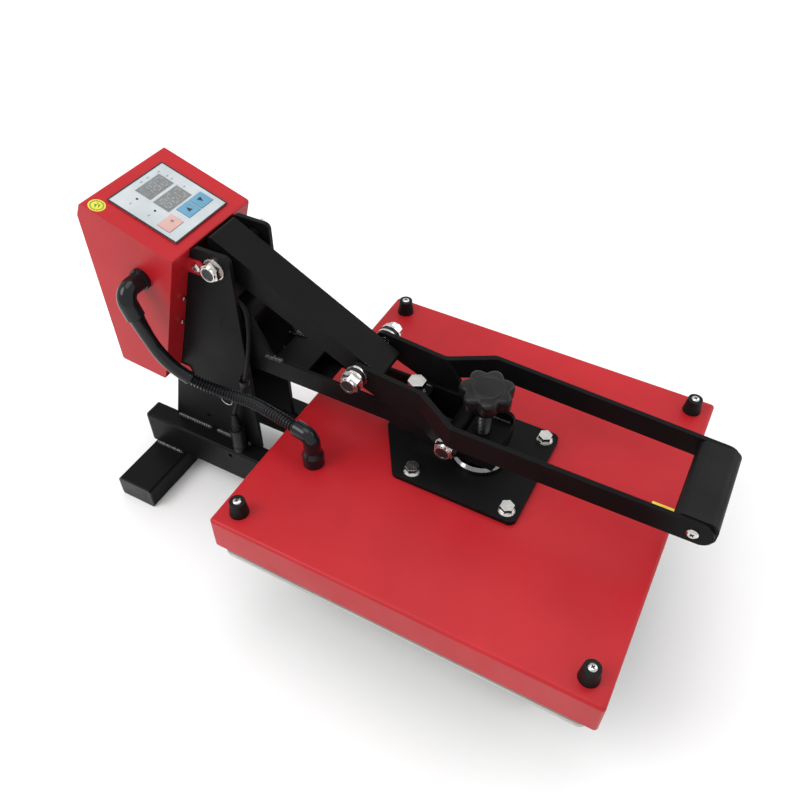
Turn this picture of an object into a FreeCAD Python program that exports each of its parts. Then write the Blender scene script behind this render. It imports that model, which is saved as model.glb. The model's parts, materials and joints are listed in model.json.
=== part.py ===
"""Manual clamshell heat press with a 380 mm square platen, closed and locked.

Frame: +X is the operator's right, +Y the rear, +Z up, and Z = 0 is the bench under the feet.
Lengths along Y are measured from the middle of the cover, heights in the head from the cover's top.
"""
import FreeCAD, Part
import math
import os
import re
import Sketcher

V = FreeCAD.Vector
Turn = FreeCAD.Rotation

# name, size, what it is
SIZES = [
    ("middle_y", -97, "the cover's middle, from the origin"),
    ("foot_length", 254, "cross foot, along X"),
    ("foot_depth", 50, "cross foot, along Y"),
    ("foot_height", 30, "cross foot"),
    ("front_foot_y", -125, "middle of the front foot"),
    ("tube_wall", 2.5, "wall of the square tubes"),
    ("tube_round", 3, "corner radius of the square tubes"),
    ("beam_width", 25, "base beam, along X"),
    ("beam_height", 50, "base beam"),
    ("beam_front", -200, "front end of the beams"),
    ("beam_rear", 428, "rear end of the beams"),
    ("cap_head", 2, "visible thickness of a tube's end cap"),
    ("cap_plug", 12, "length of an end cap inside its tube"),
    ("rail_height", 35, "rail under the table"),
    ("rail_depth", 40, "rail, along Y"),
    ("rail_length", 300, "rail, along X"),
    ("rail_offset", 120, "middle of each rail"),
    ("rail_wall", 2.5, "sheet of the rails"),
    ("table_width", 390, "lower platen, along X"),
    ("table_front", -195, "front edge of the lower platen"),
    ("table_rear", 200, "rear edge of the lower platen"),
    ("tongue_half", 50, "half the width of the lower platen's tongue"),
    ("tongue_rear", 232, "rear edge of the lower platen's tongue"),
    ("table_sheet", 5, "thickness of the lower platen"),
    ("pad_size", 380, "silicone pad, square"),
    ("pad_sheet", 8, "thickness of the pad"),
    ("press_gap", 0.3, "air between pad and heated platen"),
    ("platen_size", 380, "heated platen, square"),
    ("platen_sheet", 14, "thickness of the heated platen"),
    ("heater_sheet", 2, "thickness of the heater"),
    ("wool_sheet", 29.2, "thickness of the insulation"),
    ("cover_width", 400, "cover, along X"),
    ("cover_length", 407, "cover, along Y"),
    ("cover_depth", 41, "height of the cover's skirt"),
    ("cover_wall", 1.5, "sheet of the cover"),
    ("cover_round", 4, "edge radius of the cover"),
    ("plug_inset", 22, "rubber plug, from the cover's edges"),
    ("plug_base", 10, "radius of a rubber plug at its foot"),
    ("plug_crown", 8, "radius of a rubber plug at its top"),
    ("plug_height", 18, "height of a rubber plug"),
    ("flange_half", 66, "half the flange's side"),
    ("flange_sheet", 6, "thickness of the flange"),
    ("flange_corner", 8, "corner radius of the flange"),
    ("tongue_tip", 106, "rear tip of the flange's tongue"),
    ("bolt_offset", 53, "flange bolts, from the middle"),
    ("bolt_head", 7, "height of a flange bolt's head"),
    ("hub_radius", 30, "thrust hub"),
    ("hub_bevel", 3, "bevel round the thrust hub's top"),
    ("screw_seat", 2, "foot of the pressure screw, above the flange"),
    ("hub_height", 9.5, "thrust hub"),
    ("screw_radius", 8, "pressure screw"),
    ("screw_play", 0.08, "radial play of the pressure screw in its block"),
    ("lift_travel", 3, "how far the pressure screw raises the head"),
    ("knob_radius", 29, "star knob over its lobes"),
    ("knob_lobe", 7.5, "radius of one lobe"),
    ("knob_sheet", 18, "height of the star"),
    ("knob_top", 107, "top of the star above the cover"),
    ("link_half", 20.5, "half the width of the upper link"),
    ("link_sheet", 4, "sheet of the upper link"),
    ("bush_radius", 8, "bushes of the upper link"),
    ("link_play", 0.5, "link to arm, each side"),
    ("arm_sheet", 4, "thickness of an arm plate"),
    ("arm_play", 0.7, "arm to lever, each side"),
    ("lever_sheet", 5, "thickness of a lever plate"),
    ("lever_play", 0.8, "lever to tower, each side"),
    ("tower_sheet", 5, "thickness of a tower plate"),
    ("tower_pivot_y", 282, "arm's pivot in the tower"),
    ("tower_pivot_z", 95, "arm's pivot in the tower"),
    ("link_pivot_y", 286, "link's pivot in the tower"),
    ("link_pivot_z", 169, "link's pivot in the tower"),
    ("stud_y", 128, "link's pivot on the lever"),
    ("stud_z", 90, "link's pivot on the lever"),
    ("lever_pivot_y", 25, "lever's pivot on the arm"),
    ("lever_pivot_z", 38.2, "lever's pivot on the arm"),
    ("shaft_radius", 10, "arm's shaft"),
    ("sleeve_radius", 16, "tube that the arm's shaft turns in"),
    ("side_play", 0.3, "a turning piece from the plates beside it"),
    ("arm_lobe", 25, "rounded rear of the arm's plates"),
    ("web_sheet", 4, "webs between the arm's plates"),
    ("stop_radius", 5, "stop screw"),
    ("stop_flats", 17, "stop screw and its nut, across flats"),
    ("bolt_radius", 6, "pivot bolts"),
    ("pivot_play", 0.06, "radial play of the pivots"),
    ("nut_flats", 19, "pivot nuts and heads, across flats"),
    ("nut_height", 10, "pivot nuts, with their collars"),
    ("nut_hexagon", 7, "height of the hexagon of a pivot nut"),
    ("collar_radius", 8.3, "collar of a pivot nut"),
    ("bolt_recess", 1, "depth of a bolt's end inside its nut"),
    ("washer_radius", 12, "pivot washers"),
    ("washer_sheet", 2.5, "pivot washers"),
    ("tower_front", 267, "front edge of the tower plates"),
    ("tower_rear", 396, "rear edge of the tower plates, at the base"),
    ("tower_top", 186, "top edge of the tower plates"),
    ("bar_height", 24, "lever bar"),
    ("bar_top", 92.8, "top of the lever bars beside the knob"),
    ("bar_spread", 57.7, "outer face of the lever bars beside the knob"),
    ("bar_front", -236, "front end of the lever bars"),
    ("grip_front", -238, "front of the grip"),
    ("grip_depth", 40, "grip, along Y"),
    ("grip_height", 27, "grip"),
    ("grip_rod", 4, "radius of the rod through the grip"),
    ("box_half", 64, "half the width of the control box"),
    ("box_sheet", 1.2, "sheet of the control box"),
    ("box_front", 314, "upper front edge of the control box"),
    ("box_brow", 184, "height of that edge"),
    ("box_crown", 422, "upper rear edge of the sloping panel"),
    ("box_rear", 430, "back of the control box"),
    ("box_bottom", 2, "underside of the control box"),
    ("tab_sheet", 1.5, "thickness of the box's mounting tabs"),
    ("panel_slope", 17.5, "slope of the panel in degrees"),
    ("overlay_half", 41.5, "half the width of the panel overlay"),
    ("overlay_low", 13, "lower edge of the overlay, up the slope"),
    ("overlay_high", 97, "upper edge of the overlay"),
    ("overlay_sheet", 1.6, "thickness of the overlay"),
    ("key_travel", 0.5, "travel of a key"),
    ("key_play", 0.3, "gap round a key"),
    ("switch_x", 30, "middle of the power switch"),
    ("switch_half", 10, "half the width of the power switch's well"),
    ("switch_tall", 13, "half the height of the power switch's well"),
    ("rocker_pivot", 3.5, "depth of the power switch's pivot"),
    ("gland_radius", 8, "neck of the mains cord's gland"),
    ("switch_z", 60, "middle of the power switch and of the cord's gland"),
    ("conduit_size", 13, "diameter of the corrugated conduit"),
    ("cable_size", 5, "diameter of the sensor cable"),
]
NAMES = {name for name, size, what in SIZES}

doc = FreeCAD.newDocument("heat_press")
dim = doc.addObject("Spreadsheet::Sheet", "dim")
for row, (name, size, what) in enumerate(SIZES, start=1):
    dim.set(f"A{row}", what)
    dim.set(f"B{row}", str(size))
    dim.setAlias(f"B{row}", name)
doc.recompute()

kept = []
made = {}


def bound(text):
    """The expression with each size's name turned into its cell."""
    return re.sub(r"[a-z_]+[a-z_0-9]*", lambda word: f"dim.{word[0]}" if word[0] in NAMES else word[0],
                  str(text))


def value(text):
    """The number that an expression gives now."""
    answer = dim.evalExpression(bound(text))
    return float(getattr(answer, "Value", answer))


def y_at(text):
    return f"(middle_y + ({text}))"


def z_at(text):
    return f"({COVER_TOP} + ({text}))"


BEAM_TOP = "(foot_height + beam_height)"
TABLE_LOW = f"({BEAM_TOP} + rail_height)"
PAD_LOW = f"({TABLE_LOW} + table_sheet)"
PLATEN_LOW = f"({PAD_LOW} + pad_sheet + press_gap)"
HEATER_LOW = f"({PLATEN_LOW} + platen_sheet)"
WOOL_LOW = f"({HEATER_LOW} + heater_sheet)"
COVER_TOP = f"({WOOL_LOW} + wool_sheet + cover_wall)"
ARM_IN = "(link_half + link_play)"
ARM_OUT = f"({ARM_IN} + arm_sheet)"
LEVER_IN = f"({ARM_OUT} + arm_play)"
LEVER_OUT = f"({LEVER_IN} + lever_sheet)"
TOWER_IN = f"({LEVER_OUT} + lever_play)"
TOWER_OUT = f"({TOWER_IN} + tower_sheet)"
BEAM_IN = f"({TOWER_IN} + 0.5)"
BEAM_OUT = f"({BEAM_IN} + beam_width)"
TOWER_PIVOT = (y_at("tower_pivot_y"), z_at("tower_pivot_z"))
LINK_PIVOT = (y_at("link_pivot_y"), z_at("link_pivot_z"))
STUD = (y_at("stud_y"), z_at("stud_z"))
LEVER_PIVOT = (y_at("lever_pivot_y"), z_at("lever_pivot_z"))
SLOPE = "panel_slope * 1 deg"
BOX_CROWN_Z = f"(box_brow + (box_crown - box_front) * tan({SLOPE}))"


# ---- building blocks ----------------------------------------------------------------------------

def fresh(kind, name):
    """A new object with a name that is not taken."""
    made[name] = made.get(name, 0) + 1
    return doc.addObject(kind, name if made[name] == 1 else f"{name}_{made[name]}")


def bind(thing, **sizes):
    for prop, text in sizes.items():
        thing.setExpression(prop, bound(text))
    return thing


def place(thing, x, y, z):
    for axis, text in zip("xyz", (x, y, z)):
        thing.setExpression(f"Placement.Base.{axis}", bound(text))
    return thing


def box(x, y, z):
    """A box from three pairs of expressions: low and high along each axis."""
    solid = bind(fresh("Part::Box", "block"), Length=f"({x[1]}) - ({x[0]})", Width=f"({y[1]}) - ({y[0]})",
                 Height=f"({z[1]}) - ({z[0]})")
    return place(solid, x[0], y[0], z[0])


def across(text):
    """A symmetric pair about the middle plane."""
    return (f"-({text})", text)


ROUND_TURNS = {"X": Turn(V(0, 1, 0), 90), "Y": Turn(V(1, 0, 0), -90), "Z": Turn()}


def along(solid, axis, low, at):
    """Set a solid that grows along Z on an axis, from low, at the two other coordinates."""
    solid.Placement.Rotation = ROUND_TURNS[axis]
    spots = list(at)
    spots.insert("XYZ".index(axis), low)
    return place(solid, *spots)


def rod(axis, radius, low, high, at):
    solid = bind(fresh("Part::Cylinder", "rod"), Radius=radius, Height=f"({high}) - ({low})")
    return along(solid, axis, low, at)


def taper(axis, first, last, low, high, at):
    solid = bind(fresh("Part::Cone", "taper"), Radius1=first, Radius2=last, Height=f"({high}) - ({low})")
    return along(solid, axis, low, at)


def hexagon(axis, flats, low, high, at):
    solid = fresh("Part::Prism", "hexagon")
    solid.Polygon = 6
    bind(solid, Circumradius=f"({flats}) / sqrt(3)", Height=f"({high}) - ({low})")
    return along(solid, axis, low, at)


def fuse(*solids):
    joined = fresh("Part::MultiFuse", "joined")
    joined.Shapes = list(solids)
    joined.Refine = True
    return joined


def cut(base, *tools):
    trimmed = fresh("Part::Cut", "trimmed")
    trimmed.Base = base
    trimmed.Tool = tools[0] if len(tools) == 1 else fuse(*tools)
    trimmed.Refine = True
    return trimmed


def common(first, second):
    shared = fresh("Part::Common", "shared")
    shared.Base = first
    shared.Tool = second
    shared.Refine = True
    return shared


def group(*solids):
    """Identical pieces that stay separate solids in one node."""
    together = fresh("Part::Compound", "group")
    together.Links = list(solids)
    return together


def mirrored(solid):
    twin = fresh("Part::Mirroring", "mirrored")
    twin.Source = solid
    twin.Base = V(0, 0, 0)
    twin.Normal = V(1, 0, 0)
    return twin


def tube(axis, outer, inner, low, high, at):
    return cut(rod(axis, outer, low, high, at), rod(axis, inner, low, high, at))


def keep(solid, name):
    """Name a finished sub-part."""
    solid.Label = name
    kept.append(solid)
    return solid


PLANES = {"XY": "XY_Plane", "XZ": "XZ_Plane", "YZ": "YZ_Plane"}


def profile(plane, corners, low, high):
    """A closed outline padded between two positions; a corner's third value is its rounding."""
    body = fresh("PartDesign::Body", "body")
    origin = next(f for f in body.Origin.OriginFeatures if f.Role == PLANES[plane])
    sketch = body.newObject("Sketcher::SketchObject", f"{body.Name}_outline")
    sketch.AttachmentSupport = [(origin, "")]
    sketch.MapMode = "FlatFace"
    offset = f"-({high})" if plane == "XZ" else low
    sketch.setExpression("AttachmentOffset.Base.z", bound(offset))
    spots = [V(value(c[0]), value(c[1]), 0) for c in corners]
    count = len(spots)
    for n in range(count):
        sketch.addGeometry(Part.LineSegment(spots[n], spots[(n + 1) % count]), False)
    for n in range(count):
        sketch.addConstraint(Sketcher.Constraint("Coincident", n, 2, (n + 1) % count, 1))
    for n, corner in enumerate(corners):
        rulers = (("DistanceX", spots[n].x, corner[0]), ("DistanceY", spots[n].y, corner[1]))
        for kind, spot, text in rulers:
            number = sketch.addConstraint(Sketcher.Constraint(kind, -1, 1, n, 1, spot))
            sketch.setExpression(f"Constraints[{number}]", bound(text))
    pad = body.newObject("PartDesign::Pad", f"{body.Name}_pad")
    pad.Profile = sketch
    pad.setExpression("Length", bound(f"({high}) - ({low})"))
    sketch.Visibility = False
    body.Tip = pad
    doc.recompute()
    for radius in sorted({c[2] for c in corners if len(c) > 2}):
        ends = [spots[n] for n, c in enumerate(corners) if len(c) > 2 and c[2] == radius]
        round_edges(body, radius, lambda edge: any(stands_at(edge, plane, end) for end in ends))
    return body


def flat_spot(plane, point):
    """A point's two coordinates in a sketch plane."""
    return {"XY": (point.x, point.y), "XZ": (point.x, point.z), "YZ": (point.y, point.z)}[plane]


def stands_at(edge, plane, spot):
    """Whether an edge runs square to the plane through the spot."""
    ends = [flat_spot(plane, vertex.Point) for vertex in edge.Vertexes]
    return len(ends) == 2 and all(math.dist(end, (spot.x, spot.y)) < 1e-4 for end in ends)


def round_edges(body, radius, wanted):
    """Round those edges of a body that the test accepts."""
    base = body.Tip
    names = [f"Edge{n}" for n, edge in enumerate(base.Shape.Edges, start=1) if wanted(edge)]
    fillet = body.newObject("PartDesign::Fillet", f"{base.Name}_round")
    fillet.Base = (base, names)
    fillet.setExpression("Radius", bound(radius))
    body.Tip = fillet
    doc.recompute()
    return body


def lies_at(axis, text):
    """A test for edges that lie wholly in one plane across an axis."""
    level = value(text)

    def wanted(edge):
        box_ = edge.BoundBox
        low = {"X": box_.XMin, "Y": box_.YMin, "Z": box_.ZMin}[axis]
        high = {"X": box_.XMax, "Y": box_.YMax, "Z": box_.ZMax}[axis]
        return abs(low - level) < 1e-4 and abs(high - level) < 1e-4
    return wanted


def square_tube(axis, side, height, span, rounding="tube_round"):
    """A square tube with rounded corners and open ends."""
    wall = "tube_wall"
    plane = "XZ" if axis == "Y" else "YZ"
    corners = [(side[0], height[0], rounding), (side[1], height[0], rounding),
               (side[1], height[1], rounding), (side[0], height[1], rounding)]
    outer = profile(plane, corners, *span)
    inside = (f"{side[0]} + {wall}", f"{side[1]} - {wall}")
    tall = (f"{height[0]} + {wall}", f"{height[1]} - {wall}")
    bore = box(inside, span, tall) if axis == "Y" else box(span, inside, tall)
    return cut(outer, bore)


def end_cap(axis, side, height, end, outward):
    """A plastic plug that closes a square tube; outward is + or -."""
    inward = "-" if outward == "+" else "+"
    head = sorted_pair(end, f"{end} {outward} cap_head")
    plug = sorted_pair(end, f"{end} {inward} cap_plug")
    inside = (f"{side[0]} + tube_wall", f"{side[1]} - tube_wall")
    tall = (f"{height[0]} + tube_wall", f"{height[1]} - tube_wall")
    corners = [(side[0], height[0], "tube_round"), (side[1], height[0], "tube_round"),
               (side[1], height[1], "tube_round"), (side[0], height[1], "tube_round")]
    if axis == "Y":
        return fuse(profile("XZ", corners, *head), box(inside, plug, tall))
    return fuse(profile("YZ", corners, *head), box(plug, inside, tall))


def sorted_pair(first, second):
    return (first, second) if value(first) < value(second) else (second, first)


def route_wire(points):
    """Straight runs joined by tangent arcs as large as their runs allow; also the least radius."""
    edges = []
    here = points[0]
    least = math.inf
    for before, corner, after in zip(points, points[1:], points[2:]):
        back = before - corner
        ahead = after - corner
        half_turn = (math.pi - back.getAngle(ahead)) / 2
        reach = 0.45 * min(back.Length, ahead.Length)
        radius = reach / math.tan(half_turn)
        least = min(least, radius)
        start = corner + V(back).normalize() * reach
        end = corner + V(ahead).normalize() * reach
        inward = (V(back).normalize() + V(ahead).normalize()).normalize()
        crown = corner + inward * (radius / math.cos(half_turn) - radius)
        edges.append(Part.LineSegment(here, start).toShape())
        edges.append(Part.Arc(start, crown, end).toShape())
        here = end
    edges.append(Part.LineSegment(here, points[-1]).toShape())
    return Part.Wire(edges), least


def hose(name, points, diameter):
    """A round tube's solid along a route of points given from the cover's middle and top."""
    spots = [V(x, value(y_at(y)), value(z_at(z))) for x, y, z in points]
    wire, least = route_wire(spots)
    radius = value(diameter) / 2
    start = Part.Circle(spots[0], spots[1] - spots[0], radius).toShape()
    solid = wire.makePipeShell([Part.Wire([start])], True, True)
    expected = math.pi * radius ** 2 * wire.Length
    share = solid.Volume / expected
    print(f"{name}: least radius {least:.1f}, length {wire.Length:.1f}, volume {share:.4f}")
    piece = doc.addObject("Part::Feature", name)
    piece.Shape = solid
    piece.Placement = FreeCAD.Placement()
    return piece


# ---- base ---------------------------------------------------------------------------------------

def build_base():
    span = (y_at("beam_front"), y_at("beam_rear"))
    height = ("foot_height", BEAM_TOP)
    sides = {"right": (BEAM_IN, BEAM_OUT), "left": (f"-{BEAM_OUT}", f"-{BEAM_IN}")}
    spare = (y_at("300"), "foot_height + 40")
    for name, side in sides.items():
        keep(cut(square_tube("Y", side, height, span), rod("X", "3", *side, spare)), f"base_beam_{name}")
    caps = [end_cap("Y", side, height, span[0], "-") for side in sides.values()]
    caps += [end_cap("Y", side, height, span[1], "+") for side in sides.values()]

    foot = ("0", "foot_height")
    width = across("(foot_length / 2)")
    places = {"front": (y_at("front_foot_y - foot_depth / 2"), y_at("front_foot_y + foot_depth / 2")),
              "rear": (y_at("beam_rear - foot_depth"), y_at("beam_rear"))}
    for name, side in places.items():
        keep(square_tube("X", side, foot, width), f"{name}_foot")
        caps += [end_cap("X", side, foot, width[0], "-"), end_cap("X", side, foot, width[1], "+")]
    keep(group(*caps), "tube_end_caps")


def build_table():
    """Two inverted channels, the lower platen screwed on them, and its silicone pad."""
    rails = []
    for sign in ("-", ""):
        middle = y_at(f"{sign}rail_offset")
        side = (f"{middle} - rail_depth / 2", f"{middle} + rail_depth / 2")
        inside = (f"{side[0]} + rail_wall", f"{side[1]} - rail_wall")
        width = across("(rail_length / 2)")
        rails.append(cut(box(width, side, (BEAM_TOP, TABLE_LOW)),
                         box(width, inside, (BEAM_TOP, f"{TABLE_LOW} - rail_wall"))))
    for name, rail in zip(("front", "rear"), rails):
        keep(rail, f"{name}_platen_rail")
    corner = "10"
    half = [("table_width / 2", "table_front"), ("table_width / 2", "table_rear"),
            ("tongue_half", "table_rear"), ("tongue_half", "tongue_rear")]
    outline = [(x, y_at(y), corner) for x, y in half]
    outline += [(f"-{x}", y_at(y), corner) for x, y in reversed(half)]
    table = profile("XY", outline, TABLE_LOW, PAD_LOW)
    keep(table, "lower_platen")
    screws = []
    for x in across("(rail_length / 2 - 30)"):
        for y in across("rail_offset"):
            at = (x, y_at(y))
            under = f"{TABLE_LOW} - rail_wall"
            screws.append(hexagon("Z", "13", f"{under} - 6.5", under, at))
    keep(group(*screws), "rail_nuts")
    pad = box(across("(pad_size / 2)"), (y_at("-pad_size / 2"), y_at("pad_size / 2")),
              (PAD_LOW, f"{PAD_LOW} + pad_sheet"))
    keep(pad, "silicone_pad")


# ---- tower --------------------------------------------------------------------------------------

def build_tower():
    outline = [(y_at("tower_front"), BEAM_TOP), (y_at("tower_rear"), BEAM_TOP),
               (y_at("box_front + 17"), z_at("tower_top - 16"), "6"),
               (y_at("box_front - 6"), z_at("tower_top"), "6"),
               (y_at("tower_front"), z_at("tower_top"), "6")]
    plate = profile("YZ", outline, TOWER_IN, TOWER_OUT)
    drilled = cut(plate, rod("X", "shaft_radius", TOWER_IN, TOWER_OUT, TOWER_PIVOT),
                  rod("X", "bolt_radius", TOWER_IN, TOWER_OUT, LINK_PIVOT),
                  rod("X", "3", TOWER_IN, TOWER_OUT, (y_at("342"), z_at("-73"))))
    keep(drilled, "tower_plate_right")
    keep(mirrored(drilled), "tower_plate_left")
    spots = [(y_at("tower_front + 58"), z_at("-50")), (y_at("tower_front + 52"), z_at("18"))]
    keep(group(*[tube("X", "9", "6", *across(TOWER_IN), spot) for spot in spots]), "tower_spacers")
    keep(rod("X", "shaft_radius", *across(TOWER_OUT), TOWER_PIVOT), "arm_shaft")
    pivot_bolt("top_pivot", LINK_PIVOT, TOWER_OUT)


def pivot_bolt(name, at, face):
    """A bolt across the press: head on the right, nut on the left, a washer under each."""
    seat = f"({face} + washer_sheet)"
    shank = rod("X", "bolt_radius", f"-({seat} + nut_height - bolt_recess)", seat, at)
    head = hexagon("X", "nut_flats", seat, f"{seat} + 8", at)
    bolt = fuse(shank, head)
    ring = tube("X", "washer_radius", "bolt_radius", face, seat, at)
    keep(group(bolt, mirrored(locknut(at, seat)), ring, mirrored(ring)), f"{name}_bolt_and_nut")


def locknut(at, seat):
    """A hexagon with a round collar, growing outward on the right from its seat."""
    body = fuse(hexagon("X", "nut_flats", seat, f"{seat} + nut_hexagon", at),
                rod("X", "collar_radius", f"{seat} + nut_hexagon", f"{seat} + nut_height", at))
    return cut(body, rod("X", "bolt_radius", seat, f"{seat} + nut_height", at))


# ---- press arm ----------------------------------------------------------------------------------

def build_arm():
    rear = "tower_pivot_y"
    outline = [(y_at("-25"), z_at("19"), "5"), (y_at("48"), z_at("19")), (y_at("98"), z_at("33")),
               (y_at(f"{rear} - 12"), z_at("33"), "15"),
               (y_at(f"{rear} + 24.4"), z_at("tower_pivot_z - 7")),
               (y_at(f"{rear} - 20"), z_at("tower_pivot_z + 15")), (y_at(f"{rear} - 44"), z_at("58"), "12"),
               (y_at("-25"), z_at("58"), "8")]
    plate = profile("YZ", outline, ARM_IN, ARM_OUT)
    lobed = fuse(plate, rod("X", "arm_lobe", ARM_IN, ARM_OUT, TOWER_PIVOT))
    drilled = cut(lobed, rod("X", "sleeve_radius", ARM_IN, ARM_OUT, TOWER_PIVOT),
                  rod("X", "bolt_radius", ARM_IN, ARM_OUT, LEVER_PIVOT))
    keep(drilled, "arm_plate_right")
    keep(mirrored(drilled), "arm_plate_left")
    between = across(f"({TOWER_IN} - side_play)")
    keep(tube("X", "sleeve_radius", "shaft_radius + pivot_play", *between, TOWER_PIVOT), "arm_pivot_tube")
    webs = [box(across(ARM_IN), (y_at(front), y_at(back)), (z_at(low), z_at(f"{low} + web_sheet")))
            for front, back, low in (("196", "238", "58 - web_sheet"), ("180", "252", "33"), ("86", "108", "33"))]
    keep(group(*webs, tube("X", "10", "bolt_radius", *across(ARM_IN), LEVER_PIVOT)), "arm_spacers")

    block = box(across(ARM_IN), (y_at("-25"), y_at("lever_pivot_y - 11")), (BLOCK_LOW, z_at("46")))
    bore = rod("Z", "screw_radius + screw_play", BLOCK_LOW, z_at("46"), ("0", y_at("0")))
    keep(cut(block, bore), "screw_block")

    bar_low, bar_high = z_at("40"), z_at("56")
    bar = box(across(ARM_IN), (y_at("66"), y_at("86")), (bar_low, bar_high))
    keep(cut(bar, rod("Z", "stop_radius", bar_low, bar_high, STOP_AT)), "stop_bar")
    nut = cut(hexagon("Z", "stop_flats", bar_high, f"{bar_high} + 8", STOP_AT),
              rod("Z", "stop_radius", bar_high, f"{bar_high} + 8", STOP_AT))
    tip = z_at("flange_sheet + lift_travel + 0.4")
    neck = z_at("73.5")
    screw = fuse(rod("Z", "stop_radius", tip, neck, STOP_AT),
                 hexagon("Z", "stop_flats", neck, f"{neck} + 6.5", STOP_AT))
    keep(group(screw, nut), "stop_screw_and_nut")

    pivot_bolt("lever_pivot", LEVER_PIVOT, f"({LEVER_OUT} + 0.3)")


BLOCK_LOW = z_at("flange_sheet + hub_height + lift_travel + 1.5")
STOP_AT = ("0", y_at("76"))


# ---- head ---------------------------------------------------------------------------------------

def build_head():
    side = across("(platen_size / 2)")
    deep = (y_at("-platen_size / 2"), y_at("platen_size / 2"))
    keep(box(side, deep, (PLATEN_LOW, HEATER_LOW)), "heat_platen")
    inner = across("(platen_size / 2 - 6)")
    inner_deep = (y_at("-platen_size / 2 + 6"), y_at("platen_size / 2 - 6"))
    keep(box(inner, inner_deep, (HEATER_LOW, WOOL_LOW)), "heater_sheet")
    keep(box(side, deep, (WOOL_LOW, z_at("-cover_wall"))), "insulation")

    wide, long = "cover_width / 2", "cover_length / 2"
    corners = [(f"-{wide}", y_at(f"-{long}"), "cover_round"), (wide, y_at(f"-{long}"), "cover_round"),
               (wide, y_at(long), "cover_round"), (f"-{wide}", y_at(long), "cover_round")]
    shell = profile("XY", corners, z_at("-cover_depth"), z_at("0"))
    round_edges(shell, "cover_round - 0.5", lies_at("Z", z_at("0")))
    inside = (y_at(f"-{long} + cover_wall"), y_at(f"{long} - cover_wall"))
    hollow = box(across(f"({wide} - cover_wall)"), inside, (z_at("-cover_depth"), z_at("-cover_wall")))
    keep(cut(shell, hollow), "platen_cover")

    half = "flange_half"
    shoulder = y_at(f"{half} + 3")
    flange = profile("XY", [(f"-{half}", y_at(f"-{half}"), "flange_corner"),
                            (half, y_at(f"-{half}"), "flange_corner"), (half, shoulder, "flange_corner"),
                            ("8", y_at("tongue_tip"), "7"), ("-8", y_at("tongue_tip"), "7"),
                            (f"-{half}", shoulder, "flange_corner")],
                     z_at("0"), z_at("flange_sheet"))
    keep(flange, "flange_plate")
    bolts = []
    for x in across("bolt_offset"):
        for y in across("bolt_offset"):
            at = (x, y_at(y))
            foot = z_at("flange_sheet")
            skirt = taper("Z", "9", "7.5", foot, f"{foot} + 1.8", at)
            crown = hexagon("Z", "13", f"{foot} + 1.8", f"{foot} + bolt_head", at)
            bolts.append(fuse(skirt, crown))
    keep(group(*bolts), "flange_bolts")
    axis = ("0", y_at("0"))
    foot, crown = z_at("flange_sheet"), z_at("flange_sheet + hub_height")
    hub = fuse(rod("Z", "hub_radius", foot, f"{crown} - hub_bevel", axis),
               taper("Z", "hub_radius", "hub_radius - hub_bevel", f"{crown} - hub_bevel", crown, axis))
    socket = rod("Z", "screw_radius + screw_play", f"{foot} + screw_seat", crown, axis)
    keep(cut(hub, socket), "thrust_hub")

    plugs = [taper("Z", "plug_base", "plug_crown", z_at("0"), z_at("plug_height"), (x, y_at(y)))
             for x in across("(cover_width / 2 - plug_inset)")
             for y in across("(cover_length / 2 - plug_inset)")]
    keep(group(*plugs), "cover_plugs")

    riser = fuse(rod("Z", "11.5", z_at("0"), z_at("14"), ("-88", y_at("151"))),
                 taper("Z", "11.5", "9", z_at("14"), z_at("20"), ("-88", y_at("151"))))
    bend = hose("cover_elbow_bend", [(-88, 151, 18), (-88, 151, 40), (-85, 171, 40.4)], "18")
    keep(fuse(riser, bend), "cover_elbow")


def build_adjuster():
    """The pressure screw with its star knob; it turns in the hub and passes through the block."""
    axis = ("0", y_at("0"))
    top, low = z_at("knob_top"), z_at("knob_top - knob_sheet")
    lobes = []
    count = 7
    for n in range(count):
        turn = 2 * math.pi * n / count
        at = (f"(knob_radius - knob_lobe) * {math.cos(turn):.6f}",
              y_at(f"(knob_radius - knob_lobe) * {math.sin(turn):.6f}"))
        lobes.append(rod("Z", "knob_lobe", low, f"{top} - 2", at))
    star = fuse(rod("Z", "knob_radius - knob_lobe", low, f"{top} - 2", axis), *lobes,
                taper("Z", "knob_radius - knob_lobe", "13", f"{top} - 2", top, axis),
                rod("Z", "15", f"{low} - 14", low, axis))
    keep(cut(star, rod("Z", "screw_radius", f"{low} - 14", f"{top} - 4", axis)), "star_knob")
    keep(rod("Z", "screw_radius", z_at("flange_sheet + screw_seat"), f"{top} - 4", axis), "pressure_screw")


# ---- lever --------------------------------------------------------------------------------------

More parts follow.
